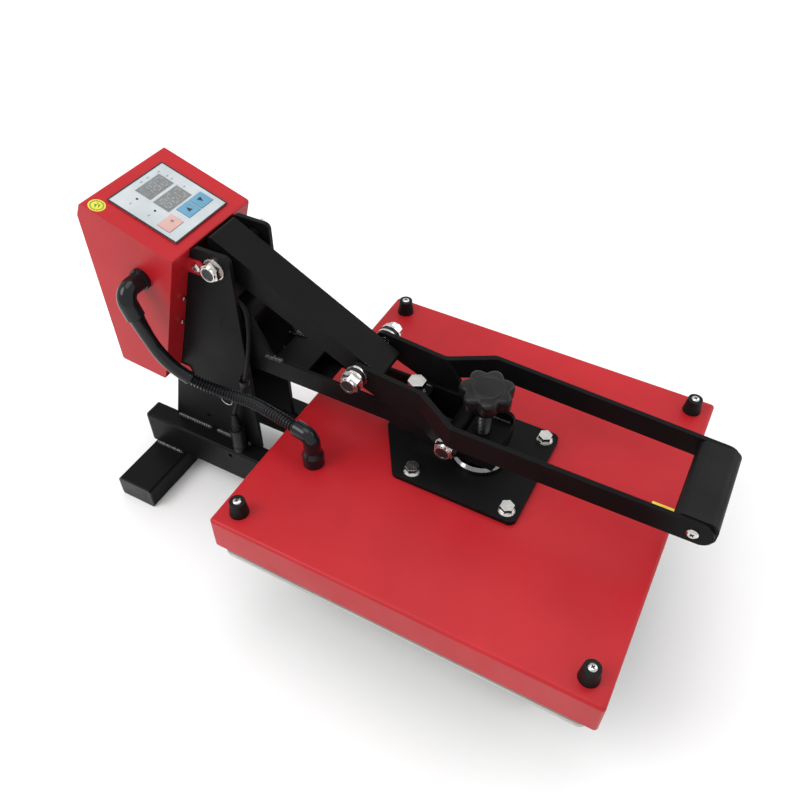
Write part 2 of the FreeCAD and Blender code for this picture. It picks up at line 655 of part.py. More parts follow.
def build_lever():
    """Each side bar is flat beside the arm, then steps outward and runs forward to the grip."""
    web = profile("YZ", [(y_at("stud_y - 3"), z_at("stud_z + 11.6")), (y_at("56"), z_at("95.8")),
                         (y_at("40"), z_at("72")), (y_at("lever_pivot_y - 12"), z_at("lever_pivot_z + 6")),
                         (y_at("lever_pivot_y + 10"), z_at("lever_pivot_z - 9.5")),
                         (y_at("52"), z_at("46"), "10"), (y_at("stud_y + 5"), z_at("stud_z - 10.8"))],
                  LEVER_IN, LEVER_OUT)
    web = fuse(web, rod("X", "12", LEVER_IN, LEVER_OUT, STUD),
               rod("X", "14", LEVER_IN, LEVER_OUT, LEVER_PIVOT))
    inward = "(0.0212 * (20 - (bar_front)))"
    spread_in = "(bar_spread - lever_sheet)"
    strip = profile("XY", [(LEVER_IN, y_at("70")), (LEVER_IN, y_at("55.5"), "8"),
                           (spread_in, y_at("10.5"), "8"),
                           (f"{spread_in} - {inward}", y_at("bar_front")),
                           (f"bar_spread - {inward}", y_at("bar_front")), ("bar_spread", y_at("14"), "12"),
                           (LEVER_OUT, y_at("58.5"), "12"), (LEVER_OUT, y_at("70"))],
                    z_at("60"), z_at("100"))
    nose_top = z_at("bar_top - 3.2")
    side = profile("YZ", [(y_at("70"), z_at("bar_top + 3.4")), (y_at("bar_front"), nose_top, NOSE),
                          (y_at("bar_front"), f"{nose_top} - bar_height", NOSE),
                          (y_at("14"), z_at("bar_top - bar_height")),
                          (y_at("70"), z_at("bar_top - bar_height + 3.4"))], "0", "bar_spread + 10")
    bar = cut(fuse(web, common(strip, side)),
              rod("X", "bolt_radius + pivot_play", LEVER_IN, LEVER_OUT, LEVER_PIVOT),
              rod("X", "bolt_radius", LEVER_IN, LEVER_OUT, STUD),
              rod("X", "grip_rod", "0", "bar_spread + 10", GRIP_AT))
    keep(bar, "lever_bar_right")
    keep(mirrored(bar), "lever_bar_left")

    half = f"(bar_spread - lever_sheet - {inward} - 0.1)"
    ends = (y_at("grip_front"), y_at("grip_front + grip_depth"))
    grip = profile("YZ", [(ends[0], f"{GRIP_AT[1]} - grip_height / 2", "9"),
                          (ends[1], f"{GRIP_AT[1]} - grip_height / 2", "9"),
                          (ends[1], f"{GRIP_AT[1]} + grip_height / 2", "9"),
                          (ends[0], f"{GRIP_AT[1]} + grip_height / 2", "9")], *across(half))
    keep(cut(grip, rod("X", "grip_rod", *across(half), GRIP_AT)), "lever_grip")
    face = f"(bar_spread - {inward} + 0.6)"
    head = fuse(rod("X", "5.5", face, f"{face} + 1.2", GRIP_AT),
                taper("X", "5.5", "3.8", f"{face} + 1.2", f"{face} + 2.6", GRIP_AT))
    keep(fuse(rod("X", "grip_rod", *across(face), GRIP_AT), head, mirrored(head)), "grip_bolt")

    seat = f"({LEVER_OUT} + 2 * washer_sheet + 5)"
    stud = rod("X", "bolt_radius", LEVER_IN, f"{seat} + nut_height - bolt_recess", STUD)
    rings = [tube("X", "washer_radius", "bolt_radius", LEVER_OUT, f"{LEVER_OUT} + washer_sheet", STUD),
             tube("X", "washer_radius", "bolt_radius", f"{seat} - washer_sheet", seat, STUD)]
    spacer = tube("X", "11", "bolt_radius", f"{LEVER_OUT} + washer_sheet", f"{seat} - washer_sheet", STUD)
    keep(group(spacer, mirrored(spacer)), "link_stud_spacers")
    pieces = [stud, locknut(STUD, seat), *rings]
    keep(group(*pieces, *[mirrored(piece) for piece in pieces]), "link_studs_and_nuts")


NOSE = "bar_height / 2 - 0.2"
GRIP_AT = (y_at("grip_front + grip_depth / 2"), z_at("bar_top - bar_height / 2 - 3.0"))


# ---- upper link ---------------------------------------------------------------------------------

def build_link():
    """A channel, open below, between the tower's top bolt and the lever's studs."""
    run_y, run_z = "(link_pivot_y - stud_y)", "(link_pivot_z - stud_z)"
    size = f"sqrt({run_y}^2 + {run_z}^2)"
    ahead_y, ahead_z = f"({run_y} / {size})", f"({run_z} / {size})"

    def spot(along_text, up_text):
        """A corner from the stud: so far up the link, so far square to it."""
        return (y_at(f"stud_y + ({along_text}) * {ahead_y} - ({up_text}) * {ahead_z}"),
                z_at(f"stud_z + ({along_text}) * {ahead_z} + ({up_text}) * {ahead_y}"))

    front, rear = "-22", f"{size} + 27"
    front_top, rear_top, low = "8", "14.5", "-16"
    outline = [(*spot(front, front_top), "4"), (*spot(rear, rear_top), "4"),
               (*spot(f"{size} + 14", low), "4"), (*spot("-10", low), "3"), spot(front, "-5")]
    outer = profile("YZ", outline, *across("link_half"))
    roof = [spot(front, f"{front_top} - link_sheet"), spot(rear, f"{rear_top} - link_sheet")]
    hollow = profile("YZ", [*roof, spot(rear, "-30"), spot(front, "-30")],
                     *across("(link_half - link_sheet)"))
    holes = [rod("X", "bush_radius", *across("link_half"), spot_) for spot_ in (LINK_PIVOT, STUD)]
    keep(cut(outer, hollow, *holes), "link_channel")
    between = across(f"({TOWER_IN} - side_play)")
    bushes = [tube("X", "bush_radius", "bolt_radius + pivot_play", *between, LINK_PIVOT),
              tube("X", "bush_radius", "bolt_radius + 0.25", *across("link_half"), STUD)]
    keep(group(*bushes), "link_bushes")


# ---- control box --------------------------------------------------------------------------------

def build_box():
    front_low = ("352", "53")
    outline = [(y_at("box_front"), z_at("box_brow"), "3"), (y_at("box_crown"), z_at(BOX_CROWN_Z), "3"),
               (y_at("box_rear"), z_at(f"{BOX_CROWN_Z} - 16")),
               (y_at("box_rear"), z_at("box_bottom + 5"), "3"),
               (y_at("368"), z_at("box_bottom"), "3"), (y_at(front_low[0]), z_at(front_low[1]), "3")]
    outer = profile("YZ", outline, *across("box_half"))
    sheet = "box_sheet"
    under = f"{sheet} / cos({SLOPE})"
    brow = z_at(f"box_brow + 2 * {sheet} * tan({SLOPE}) - {under}")
    crown = z_at(f"{BOX_CROWN_Z} - {sheet} * tan({SLOPE}) - {under}")
    inner = profile("YZ", [(y_at(f"box_front + 2 * {sheet}"), brow), (y_at(f"box_crown - {sheet}"), crown),
                           (y_at("box_rear"), z_at(f"{BOX_CROWN_Z} - 16")),
                           (y_at("box_rear"), z_at(f"box_bottom + 5 + {sheet}")),
                           (y_at(f"368 + {sheet}"), z_at(f"box_bottom + {sheet}")),
                           (y_at(f"{front_low[0]} + {sheet}"), z_at(front_low[1]))],
                    *across(f"(box_half - {sheet})"))
    notch = box(across(TOWER_OUT), (y_at("box_front - 20"), y_at("tower_rear")),
                (z_at("box_bottom - 10"), z_at(f"box_brow - {sheet} - 0.3")))
    shell = cut(outer, inner, notch)
    tabs = []
    for low, high, base, top in (("300", "334", "154", "172"), ("352", "376", "-12", "6")):
        outline = [(y_at(low), z_at(base), "5"), (y_at(high), z_at(base)), (y_at(high), z_at(top)),
                   (y_at(low), z_at(top), "5")]
        ear = profile("YZ", outline, TOWER_OUT, f"{TOWER_OUT} + tab_sheet")
        tabs += [ear, mirrored(ear)]
    keep(fuse(shell, *tabs), "box_shell")
    back = box(across(f"(box_half - {sheet})"), (y_at(f"box_rear - {sheet}"), y_at("box_rear")),
               (z_at(f"box_bottom + 6 + {sheet}"), z_at(f"{BOX_CROWN_Z} - 19")))
    back_holes = [switch_block("2", "-4", "1"),
                  rod("Y", "gland_radius", y_at("box_rear - 4"), y_at("box_rear"), GLAND_AT)]
    keep(cut(back, *back_holes), "box_back_panel")

    screws = []
    seat = f"{TOWER_OUT} + tab_sheet"
    for y, z in (("309", "163"), ("364", "-4")):
        at = (y_at(y), z_at(z))
        head = fuse(rod("X", "5", seat, f"{seat} + 1.5", at),
                    taper("X", "5", "3.2", f"{seat} + 1.5", f"{seat} + 3", at))
        screws += [head, mirrored(head)]
    keep(group(*screws), "box_tab_screws")


GLAND_AT = ("-30", z_at("switch_z"))
KEYS = {"key_up": ("-4", "14.5", "25.5", "42"), "key_down": ("16", "35", "25.5", "42"),
        "key_set": ("-35", "-13", "26", "41")}
WINDOWS = (("-11.5", "24.5", "69", "87"), ("-12", "24", "45.5", "64"))


def on_slope(u, v, w):
    """A box on the sloping panel: across, up the slope and out from its surface."""
    solid = bind(fresh("Part::Box", "tile"), Length=f"({u[1]}) - ({u[0]})", Width=f"({v[1]}) - ({v[0]})",
                 Height=f"({w[1]}) - ({w[0]})")
    solid.Placement.Rotation = Turn(V(1, 0, 0), value("panel_slope"))
    place(solid, u[0], y_at(f"box_front + ({v[0]}) * cos({SLOPE}) - ({w[0]}) * sin({SLOPE})"),
          z_at(f"box_brow + ({v[0]}) * sin({SLOPE}) + ({w[0]}) * cos({SLOPE})"))
    return solid


def build_panel():
    overlay = on_slope(across("overlay_half"), ("overlay_low", "overlay_high"), ("0", "overlay_sheet"))
    holes = [on_slope((f"{a} - key_play", f"{b} + key_play"), (f"{c} - key_play", f"{d} + key_play"),
                      ("0", "overlay_sheet")) for a, b, c, d in KEYS.values()]
    holes += [on_slope((a, b), (c, d), ("0", "overlay_sheet")) for a, b, c, d in WINDOWS]
    keep(cut(overlay, *holes), "panel_overlay")
    for name, (a, b, c, d) in KEYS.items():
        keep(on_slope((a, b), (c, d), ("key_travel + 0.2", "overlay_sheet + key_travel")), name)
    keep(group(*[on_slope((a, b), (c, d), ("0", "overlay_sheet + 0.2")) for a, b, c, d in WINDOWS]),
         "display_windows")
    board = on_slope(across("50"), ("20", "92"), ("-14", "-12.4"))
    posts = [on_slope((x, f"{x} + 8"), (v, f"{v} + 8"), ("-12.4", "-box_sheet"))
             for x in ("-50", "42") for v in ("22", "80")]
    keep(fuse(board, *posts), "control_board")


def switch_block(margin, inner, outer):
    """A box round the power switch's opening, grown by a margin, between two distances from the back."""
    side = (f"switch_x - switch_half - ({margin})", f"switch_x + switch_half + ({margin})")
    tall = (z_at(f"switch_z - switch_tall - ({margin})"), z_at(f"switch_z + switch_tall + ({margin})"))
    return box(side, (y_at(f"box_rear + {inner}"), y_at(f"box_rear + {outer}")), tall)


def build_switch():
    """The bezel with its well, and the rocker that tips in it."""
    shell = fuse(switch_block("4", "0", "2"), switch_block("2", "-18", "0"))
    keep(cut(shell, switch_block("0", "-12", "2")), "switch_bezel")
    deep, flat = y_at("box_rear - 9"), y_at("box_rear - 1.8")
    pressed = (y_at("box_rear + 1.4"), z_at("switch_z - switch_tall + 1.2"))
    outline = [(deep, z_at("switch_z - 5")), pressed, (flat, z_at("switch_z")),
               (flat, z_at("switch_z + switch_tall - 1.4")), (deep, z_at("switch_z + 5"))]
    button = profile("YZ", outline, "switch_x - switch_half + 0.4", "switch_x + switch_half - 0.4")
    trunnion = rod("X", "1.5", "switch_x - switch_half + 0.05", "switch_x + switch_half - 0.05",
                   (y_at("box_rear - rocker_pivot"), z_at("switch_z")))
    keep(fuse(button, trunnion), "power_rocker")


def build_wiring():
    """What the control box holds, and the leads that leave it."""
    floor = z_at("box_bottom + 5 + box_sheet")
    keep(box(("14", "58"), (y_at("box_rear - 32"), y_at("box_rear - 2")), (floor, f"{floor} + 23")),
         "power_relay")
    gland = fuse(rod("Y", "gland_radius", y_at("box_rear - 6"), y_at("box_rear"), GLAND_AT),
                 hexagon("Y", "20", y_at("box_rear"), y_at("box_rear + 2"), GLAND_AT))
    keep(cut(gland, rod("Y", "4", y_at("box_rear - 6"), y_at("box_rear + 2"), GLAND_AT)), "cord_gland")

    neck = rod("X", "12", "-(box_half + 5)", "-box_half", (y_at("362"), z_at("148")))
    wall = -value("box_half")
    bend = hose("box_elbow_bend", [(wall, 362, 148), (wall - 29, 362, 148), (wall - 28.1, 353.7, 120.8)], "20")
    keep(fuse(neck, bend), "box_elbow")
    keep(hose("heater_conduit", CONDUIT, "conduit_size"), "heater_conduit")

    at = (f"-({TOWER_OUT} + 10.5)", y_at("290"))
    keep(fuse(rod("Z", "9", BEAM_TOP, f"{BEAM_TOP} + 36", at),
              taper("Z", "6.5", "3.4", f"{BEAM_TOP} + 36", f"{BEAM_TOP} + 60", at)), "close_sensor")
    keep(hose("sensor_cable", SENSOR_CABLE, "cable_size"), "sensor_cable")
    low, high = z_at("20"), z_at("26")
    at = (f"-({TOWER_OUT} + 6)", y_at("269.5"))
    saddle = box((f"-({TOWER_OUT} + 5)", f"-{TOWER_OUT}"), (y_at("tower_front"), y_at("tower_front + 10")),
                 (low, high))
    keep(cut(fuse(saddle, rod("Z", "5.6", low, high, at)), rod("Z", "4.2", low, high, at)), "cable_clip")


CONDUIT = [(-92.1, 353.4, 120), (-91, 343, 86), (-86, 326, 56), (-78, 302, 37), (-71, 270, 30),
           (-72, 237, 35), (-80, 204, 41), (-84.85, 172, 40.4)]
SENSOR_CABLE = [(-28, 332, 138), (-28, 308, 139), (-28.5, 284, 136), (-28.5, 262, 124), (-34, 257.5, 98),
                (-39.5, 258.5, 70), (-42, 264, 40), (-43, 275, 6), (-46, 286, -20), (-47, 290, -34.3)]


# ---- make, check, write -------------------------------------------------------------------------

for build in (build_base, build_table, build_tower, build_arm, build_head, build_adjuster, build_lever,
              build_link, build_box, build_panel, build_switch, build_wiring):
    build()
doc.recompute()

faults = [thing.Name for thing in doc.Objects if {"Invalid", "Error"} & set(thing.State)]
faults += [piece.Label for piece in kept if piece.Shape.isNull() or not piece.Shape.isValid()]
if faults:
    raise RuntimeError(f"failed: {faults}")

os.makedirs("parts", exist_ok=True)
for piece in kept:
    piece.Shape.exportStep(f"parts/{piece.Label}.step")
print(f"{len(kept)} sub-parts written")
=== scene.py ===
"""Looks of a manual clamshell heat press: materials, hoses, threads, welds, panel print and studio."""
import json
import math
import random

import bmesh
import bpy
import numpy as np
from mathutils import Matrix, Vector


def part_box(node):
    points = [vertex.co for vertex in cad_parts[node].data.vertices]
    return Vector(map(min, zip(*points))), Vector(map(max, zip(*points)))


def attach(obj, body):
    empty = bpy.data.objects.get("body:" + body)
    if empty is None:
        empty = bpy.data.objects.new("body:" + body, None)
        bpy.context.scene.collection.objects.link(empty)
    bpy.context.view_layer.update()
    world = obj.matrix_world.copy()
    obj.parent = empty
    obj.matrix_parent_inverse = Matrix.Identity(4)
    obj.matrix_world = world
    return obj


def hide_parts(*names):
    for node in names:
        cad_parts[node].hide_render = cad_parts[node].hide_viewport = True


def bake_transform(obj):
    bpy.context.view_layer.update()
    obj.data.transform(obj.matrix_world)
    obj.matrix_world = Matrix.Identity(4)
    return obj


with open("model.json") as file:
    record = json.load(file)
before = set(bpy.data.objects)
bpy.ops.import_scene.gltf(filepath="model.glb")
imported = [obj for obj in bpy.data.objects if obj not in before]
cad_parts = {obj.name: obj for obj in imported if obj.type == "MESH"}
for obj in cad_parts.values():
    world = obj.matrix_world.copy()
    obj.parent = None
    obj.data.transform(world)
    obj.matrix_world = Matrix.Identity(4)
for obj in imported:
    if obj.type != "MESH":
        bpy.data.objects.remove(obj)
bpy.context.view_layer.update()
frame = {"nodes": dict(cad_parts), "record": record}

MM = 0.001
PAINT_EDGE = 0.0009     # how far paint rounds an edge, in metres
HARD_EDGE = 0.0005      # how far a bare or moulded edge is rounded
RECORD = frame["record"]


def corner(node, side, axis):
    """A coordinate of a CAD node's box; side 0 is low and 1 is high."""
    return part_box(node)[side]["xyz".index(axis)]


def middle(node):
    low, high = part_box(node)
    return (Vector(low) + Vector(high)) / 2


COVER_TOP = corner("platen_cover", 1, "z")
COVER_Y = middle("platen_cover").y


def at(x, y, z):
    """A point given in millimetres from the middle of the cover's top."""
    return Vector((x * MM, COVER_Y + y * MM, COVER_TOP + z * MM))


# ---- materials ----------------------------------------------------------------------------------

class Nodes:
    """A short way to lay out one material's nodes."""

    def __init__(self, name):
        self.material = bpy.data.materials.new(name)
        self.material.use_nodes = True
        self.tree = self.material.node_tree
        self.tree.nodes.clear()
        self.output = self.add("ShaderNodeOutputMaterial")
        self.shader = self.add("ShaderNodeBsdfPrincipled")
        self.link(self.shader.outputs["BSDF"], self.output.inputs["Surface"])
        self.place = self.add("ShaderNodeTexCoord").outputs["Object"]

    def add(self, kind, **settings):
        node = self.tree.nodes.new(kind)
        for key, setting in settings.items():
            setattr(node, key, setting)
        return node

    def link(self, start, end):
        self.tree.links.new(start, end)

    def noise(self, scale, detail=2.0, rough=0.5, stretch=None):
        node = self.add("ShaderNodeTexNoise")
        node.inputs["Scale"].default_value = scale
        node.inputs["Detail"].default_value = detail
        node.inputs["Roughness"].default_value = rough
        place = self.place
        if stretch:
            mapping = self.add("ShaderNodeMapping")
            mapping.inputs["Scale"].default_value = stretch
            self.link(place, mapping.inputs["Vector"])
            place = mapping.outputs["Vector"]
        self.link(place, node.inputs["Vector"])
        return node.outputs["Fac"]

    def ramp(self, source, stops):
        node = self.add("ShaderNodeValToRGB")
        while len(node.color_ramp.elements) < len(stops):
            node.color_ramp.elements.new(0.5)
        for element, (place, color) in zip(node.color_ramp.elements, stops):
            element.position = place
            element.color = (*color, 1)
        self.link(source, node.inputs["Fac"])
        return node.outputs["Color"]

    def span(self, source, low, high, start=0.3, end=0.7):
        node = self.add("ShaderNodeMapRange")
        node.inputs["From Min"].default_value = start
        node.inputs["From Max"].default_value = end
        node.inputs["To Min"].default_value = low
        node.inputs["To Max"].default_value = high
        self.link(source, node.inputs["Value"])
        return node.outputs["Result"]

    def mix(self, factor, first, second):
        node = self.add("ShaderNodeMix", data_type="RGBA")
        self.link(factor, node.inputs["Factor"])
        for source, socket in ((first, node.inputs[6]), (second, node.inputs[7])):
            if isinstance(source, tuple):
                socket.default_value = (*source, 1)
            else:
                self.link(source, socket)
        return node.outputs[2]

    def bump(self, height, distance, strength=1.0, normal=None):
        node = self.add("ShaderNodeBump")
        node.inputs["Distance"].default_value = distance
        node.inputs["Strength"].default_value = strength
        self.link(height, node.inputs["Height"])
        if normal is not None:
            self.link(normal, node.inputs["Normal"])
        return node.outputs["Normal"]

    def soft_edges(self, radius):
        """A normal that rounds sharp edges."""
        bevel = self.add("ShaderNodeBevel", samples=4)
        bevel.inputs["Radius"].default_value = radius
        return bevel.outputs["Normal"]

    def edge_mask(self, rounded):
        """A mask that is bright where the rounded normal leaves the true one."""
        geometry = self.add("ShaderNodeNewGeometry")
        dot = self.add("ShaderNodeVectorMath", operation="DOT_PRODUCT")
        self.link(rounded, dot.inputs[0])
        self.link(geometry.outputs["Normal"], dot.inputs[1])
        return self.span(dot.outputs["Value"], 1.0, 0.0, 0.72, 0.98)

    def finish(self, color, roughness, normal=None, **fixed):
        self.link(color, self.shader.inputs["Base Color"])
        self.link(roughness, self.shader.inputs["Roughness"])
        if normal is not None:
            self.link(normal, self.shader.inputs["Normal"])
        for key, setting in fixed.items():
            self.shader.inputs[key.replace("_", " ")].default_value = setting
        return self.material


def powder_coat(name, deep, main, edge, rough, coat=0.0, gleam=0.45):
    """Sprayed and baked paint: slight orange peel, dust in the tone, and a painted highlight that makes the
    edges a little lighter.
    """
    m = Nodes(name)
    normal = m.soft_edges(PAINT_EDGE)
    highlight_rim = m.edge_mask(normal)
    broad = m.noise(9, 4)
    tone = m.ramp(broad, [(0.3, deep), (0.7, main)])
    # painted highlight: the lighter edge colour is mixed in along rounded edges, broken up by noise
    painted_edge_highlight = m.add("ShaderNodeMath", operation="MULTIPLY")
    m.link(highlight_rim, painted_edge_highlight.inputs[0])
    m.link(m.span(m.noise(55, 4, 0.7), 0.0, 0.55, 0.45, 0.7), painted_edge_highlight.inputs[1])
    color = m.mix(painted_edge_highlight.outputs["Value"], tone, edge)
    peel = m.bump(m.noise(900, 1.5), 0.00006, 0.55, normal)
    grain = m.bump(m.noise(3200, 1), 0.00002, 0.4, peel)
    smears = m.span(m.noise(22, 5, 0.65), rough - 0.05, rough + 0.10)
    return m.finish(color, smears, grain, Coat_Weight=coat, Coat_Roughness=0.3, Specular_IOR_Level=gleam)


def metal(name, dark, light, low, high, stretch=None, scale=60):
    m = Nodes(name)
    normal = m.soft_edges(HARD_EDGE)
    streaks = m.noise(scale, 5, 0.6, stretch)
    color = m.ramp(streaks, [(0.25, dark), (0.75, light)])
    scratches = m.bump(m.noise(scale * 14, 2, 0.6, stretch), 0.00002, 0.35, normal)
    return m.finish(color, m.span(m.noise(scale * 3, 3), low, high), scratches, Metallic=1.0)


def plastic(name, dark, light, low, high, grain=1500, depth=0.00003, scale=35, gleam=0.5):
    m = Nodes(name)
    normal = m.soft_edges(HARD_EDGE)
    color = m.ramp(m.noise(scale, 4), [(0.3, dark), (0.7, light)])
    pebble = m.bump(m.noise(grain, 2), depth, 0.6, normal)
    return m.finish(color, m.span(m.noise(scale * 2, 4), low, high), pebble, Specular_IOR_Level=gleam)


def felt(name, dark, light):
    m = Nodes(name)
    color = m.ramp(m.noise(220, 6, 0.7), [(0.3, dark), (0.7, light)])
    fibres = m.bump(m.noise(800, 5, 0.7, (1, 1, 5)), 0.0006, 0.8)
    return m.finish(color, m.span(m.noise(90), 0.85, 0.97), fibres, Sheen_Weight=0.3)


def foam_rubber(name, dark, light):
    m = Nodes(name)
    color = m.ramp(m.noise(60, 5), [(0.3, dark), (0.7, light)])
    pores = m.bump(m.noise(1300, 3), 0.0001, 0.7)
    return m.finish(color, m.span(m.noise(30), 0.6, 0.75), pores)


def tinted_window(name, dark, light):
    """The tinted film over a display."""
    m = Nodes(name)
    color = m.ramp(m.noise(160, 3), [(0.3, dark), (0.7, light)])
    return m.finish(color, m.span(m.noise(70), 0.12, 0.22), None, Coat_Weight=0.5, Coat_Roughness=0.05)


# The third colour of each powder coat is its painted edge highlight.
MATERIALS = {
    "black_paint": powder_coat("black_paint", (0.0035, 0.0035, 0.0038), (0.0060, 0.0060, 0.0066),
                               (0.05, 0.05, 0.05),
                               0.38, 0.0, 0.08),
    "red_paint": powder_coat("red_paint", (0.37, 0.008, 0.013), (0.44, 0.012, 0.018), (0.55, 0.04, 0.04),
                             0.36, 0.1,
                             0.2),
    "zinc_steel": metal("zinc_steel", (0.50, 0.49, 0.47), (0.78, 0.77, 0.74), 0.14, 0.28),
    "chrome": metal("chrome", (0.13, 0.13, 0.14), (0.30, 0.30, 0.31), 0.06, 0.14, scale=25),
    "raw_aluminium": metal("raw_aluminium", (0.55, 0.55, 0.54), (0.72, 0.72, 0.71), 0.28, 0.42, (1, 12, 1),
                           40),
    "table_paint": powder_coat("table_paint", (0.36, 0.35, 0.32), (0.46, 0.45, 0.42), (0.6, 0.6, 0.58),
                               0.42),
    "silicone": foam_rubber("silicone", (0.42, 0.41, 0.37), (0.52, 0.50, 0.46)),
    "black_rubber": plastic("black_rubber", (0.004, 0.004, 0.004), (0.008, 0.008, 0.008), 0.42, 0.6, 1100,
                            0.00006,
                            gleam=0.15),
    "black_plastic": plastic("black_plastic", (0.005, 0.005, 0.006), (0.010, 0.010, 0.011), 0.24, 0.42,
                             gleam=0.22),
    "overlay_film": plastic("overlay_film", (0.40, 0.44, 0.46), (0.49, 0.53, 0.55), 0.3, 0.42, 2600,
                            0.00002),
    "display_film": tinted_window("display_film", (0.13, 0.14, 0.14), (0.19, 0.20, 0.20)),
    "blue_film": plastic("blue_film", (0.09, 0.25, 0.38), (0.12, 0.31, 0.45), 0.3, 0.42, 2600, 0.00002),
    "pink_film": plastic("pink_film", (0.50, 0.30, 0.27), (0.58, 0.36, 0.32), 0.3, 0.42, 2600, 0.00002),
    "mineral_wool": felt("mineral_wool", (0.45, 0.42, 0.30), (0.66, 0.62, 0.48)),
    "circuit_board": plastic("circuit_board", (0.01, 0.07, 0.03), (0.015, 0.12, 0.05), 0.25, 0.4, 900),
}
EXTRAS = {
    # black print, and also the painted shade in screw recesses
    "black_print_and_recess_shade": plastic("black_print_and_recess_shade", (0.006, 0.006, 0.007), (0.012, 0.012, 0.013), 0.3, 0.45, 2200,
                           0.00001),
    "oiled_steel": metal("oiled_steel", (0.02, 0.02, 0.02), (0.08, 0.08, 0.08), 0.2, 0.36),
    "pale_segment": plastic("pale_segment", (0.24, 0.25, 0.25), (0.31, 0.32, 0.32), 0.3, 0.4, 2200,
                            0.00001),
    "grey_print": plastic("grey_print", (0.16, 0.17, 0.18), (0.22, 0.23, 0.24), 0.35, 0.45, 2200, 0.00001),
    "sticker_yellow": plastic("sticker_yellow", (0.62, 0.50, 0.02), (0.74, 0.62, 0.05), 0.35, 0.5, 2200,
                              0.00001),
    "sticker_green": plastic("sticker_green", (0.05, 0.22, 0.03), (0.08, 0.30, 0.05), 0.35, 0.5, 2200,
                             0.00001),
    "orange_film": plastic("orange_film", (0.80, 0.30, 0.02), (0.90, 0.40, 0.04), 0.35, 0.5, 2200, 0.00001),
    "gloss_black": plastic("gloss_black", (0.004, 0.005, 0.006), (0.008, 0.009, 0.011), 0.10, 0.2, 700,
                           0.00002,
                           gleam=0.3),
    "weld_paint": plastic("weld_paint", (0.006, 0.006, 0.006), (0.014, 0.014, 0.014), 0.08, 0.2, 500,
                          0.0002,
                          gleam=0.7),
}


def dress_cad():
    """Every CAD node gets the material of its slot."""
    for part in RECORD["subparts"]:
        thing = frame["nodes"][part["node"]]
        material = MATERIALS[part["material_slot"]]
        thing.data.materials.clear()
        thing.data.materials.append(material)
    for node in ("cover_elbow", "box_elbow"):
        thing = frame["nodes"][node]
        thing.data.materials[0] = EXTRAS["gloss_black"]


# ---- mesh helpers -------------------------------------------------------------------------------

def piece(name, verts, faces, material, body, slot, smooth=True):
    mesh = bpy.data.meshes.new(name)
    mesh.from_pydata([tuple(v) for v in verts], [], faces)
    bm = bmesh.new()
    bm.from_mesh(mesh)
    bmesh.ops.recalc_face_normals(bm, faces=bm.faces)
    bm.to_mesh(mesh)
    bm.free()
    for face in mesh.polygons:
        face.use_smooth = smooth
    if smooth:
        mesh.set_sharp_from_angle(angle=math.radians(42))
    thing = bpy.data.objects.new(name, mesh)
    bpy.context.scene.collection.objects.link(thing)
    mesh.materials.append(material)
    if body:
        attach(thing, body)
    return thing


def merge(parts):
    """One list of vertices and faces from several."""
    verts, faces = [], []
    for more, shapes in parts:
        base = len(verts)
        verts += list(more)
        faces += [tuple(base + n for n in shape) for shape in shapes]
    return verts, faces


def rings_mesh(rings):
    """A closed skin over rings of equally many points, with a fan over each end."""
    count = len(rings[0])
    verts = [p for ring in rings for p in ring]
    faces = []
    for n in range(len(rings) - 1):
        for k in range(count):
            a, b = n * count + k, n * count + (k + 1) % count
            faces.append((a, b, b + count, a + count))
    for ring, start in ((rings[0], 0), (rings[-1], (len(rings) - 1) * count)):
        hub = len(verts)
        verts.append(sum((Vector(p) for p in ring), Vector()) / count)
        faces += [(start + k, start + (k + 1) % count, hub) for k in range(count)]
    return verts, faces


def route_line(points):
    """The smooth line that a route's points control."""
    curve = bpy.data.curves.new("route", "CURVE")
    curve.dimensions = "3D"
    spline = curve.splines.new("NURBS")
    spline.points.add(len(points) - 1)
    for spot, point in zip(spline.points, points):
        spot.co = (*point, 1)
    spline.order_u = 3
    spline.use_endpoint_u = True
    spline.resolution_u = 24
    thing = bpy.data.objects.new("route", curve)
    bpy.context.scene.collection.objects.link(thing)
    bpy.context.view_layer.update()
    mesh = bpy.data.meshes.new_from_object(thing)
    line = [v.co.copy() for v in mesh.vertices]
    bpy.data.objects.remove(thing)
    bpy.data.curves.remove(curve)
    bpy.data.meshes.remove(mesh)
    return line


def march(line, step):
    """Points at even distances along a line, with the distance of each."""
    spots = np.array([tuple(p) for p in line])
    runs = np.linalg.norm(np.diff(spots, axis=0), axis=1)
    reach = np.concatenate([[0], np.cumsum(runs)])
    wanted = np.linspace(0, reach[-1], max(2, round(reach[-1] / step) + 1))
    return [Vector([np.interp(s, reach, spots[:, k]) for k in range(3)]) for s in wanted], wanted


def sweep(line, step, radius, sides=24):
    """A skin round a line; radius is a function of the distance, the whole length and the angle."""
    spots, reach = march(line, step)
    rings = []
    side = None
    for n, spot in enumerate(spots):
        ahead = (spots[min(n + 1, len(spots) - 1)] - spots[max(n - 1, 0)]).normalized()
        guess = side or (Vector((0, 0, 1)) if abs(ahead.z) < 0.9 else Vector((1, 0, 0)))
        side = (guess - ahead * guess.dot(ahead)).normalized()
        other = ahead.cross(side)
        ring = []
        for k in range(sides):
            turn = 2 * math.pi * k / sides
            r = radius(reach[n], reach[-1], turn)
            ring.append(spot + (side * math.cos(turn) + other * math.sin(turn)) * r)
        rings.append(ring)
    return rings_mesh(rings)


def lathe(center, axis, outline, sides=40, shape=None):
    """A turned solid: outline is (radius, height) pairs in metres; shape scales the radius by angle."""
    axis = Vector(axis).normalized()
    side = axis.orthogonal().normalized()
    if abs(axis.z) > 0.99:
        side = Vector((1, 0, 0))
    other = axis.cross(side)
    rings = []
    for radius, height in outline:
        ring = []
        for k in range(sides):
            turn = 2 * math.pi * k / sides
            r = radius * (shape(turn) if shape else 1)
            out = side * math.cos(turn) + other * math.sin(turn)
            ring.append(Vector(center) + axis * height + out * r)
        rings.append(ring)
    return rings_mesh(rings)


